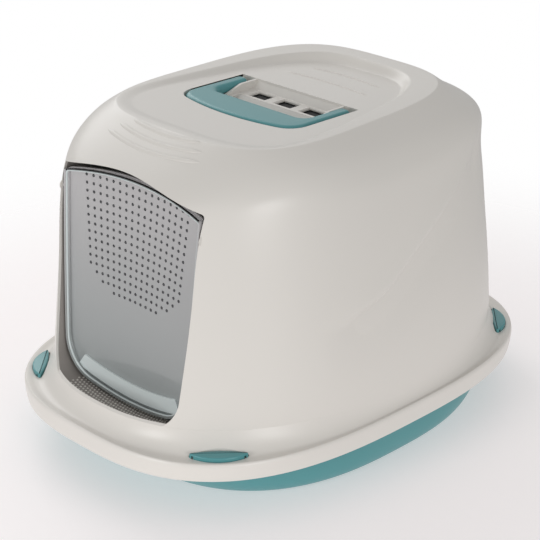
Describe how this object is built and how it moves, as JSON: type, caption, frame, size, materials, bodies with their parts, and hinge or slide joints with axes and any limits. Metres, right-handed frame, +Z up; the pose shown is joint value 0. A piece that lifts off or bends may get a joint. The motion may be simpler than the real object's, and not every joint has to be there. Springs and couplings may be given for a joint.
{
  "type": "hooded litter box",
  "caption": "Hooded pet litter box: oval tray, lift-off domed hood with a front doorway and clear swing flap, folding carry handle over filtered vents, rocking rim latches.",
  "frame": {"origin": "middle of the tray's underside, on the floor", "axes": "+Z up, -Y towards the doorway, X = 0 the plane of symmetry"},
  "size_m": [0.4118, 0.5588, 0.3588],
  "materials": {
    "tray": "satin",
    "hood": "satin",
    "flap": "clear moulded plastic with raised dots",
    "handle": "satin",
    "filter_holder": "matt",
    "filter_pad": "carbon felt",
    "latch": "satin"
  },
  "bodies": {
    "tray": {"tray": "tray"},
    "hood": {"hood": "hood"},
    "flap": {"flap": "flap"},
    "handle": {"handle": "handle"},
    "filter_holder": {"filter_holder": "filter_holder", "filter_pad": "filter_pad"},
    "latch_front_left": {"latch_front_left": "latch"},
    "latch_front_right": {"latch_front_right": "latch"},
    "latch_back_left": {"latch_back_left": "latch"},
    "latch_back_right": {"latch_back_right": "latch"}
  },
  "joints": [
    {"name": "hood_lift", "type": "slide", "parent": "tray", "child": "hood", "axis": [0, 0, 1], "range_m": [0, 0.12]},
    {"name": "flap_swing", "type": "hinge", "parent": "hood", "child": "flap", "pos_m": [0, -0.202, 0.281], "axis": [1, 0, 0], "range_deg": [-75, 75]},
    {"name": "handle_fold", "type": "hinge", "parent": "hood", "child": "handle", "pos_m": [0, 0.022, 0.3461], "axis": [-1, 0, 0], "range_deg": [0, 95]},
    {"name": "filter_drop", "type": "slide", "parent": "hood", "child": "filter_holder", "axis": [0, 0, -1], "range_m": [0, 0.04]},
    {"name": "latch_front_left_rock", "type": "hinge", "parent": "hood", "child": "latch_front_left", "pos_m": [-0.13952, -0.21767, 0.0636], "axis": [-0.6851, 0.7284, 0], "range_deg": [0, 10]},
    {"name": "latch_front_right_rock", "type": "hinge", "parent": "hood", "child": "latch_front_right", "pos_m": [0.13952, -0.21767, 0.0636], "axis": [-0.6851, -0.7284, 0], "range_deg": [0, 10]},
    {"name": "latch_back_left_rock", "type": "hinge", "parent": "hood", "child": "latch_back_left", "pos_m": [-0.13952, 0.21767, 0.0636], "axis": [0.6851, 0.7284, 0], "range_deg": [0, 10]},
    {"name": "latch_back_right_rock", "type": "hinge", "parent": "hood", "child": "latch_back_right", "pos_m": [0.13952, 0.21767, 0.0636], "axis": [0.6851, -0.7284, 0], "range_deg": [0, 10]}
  ]
}
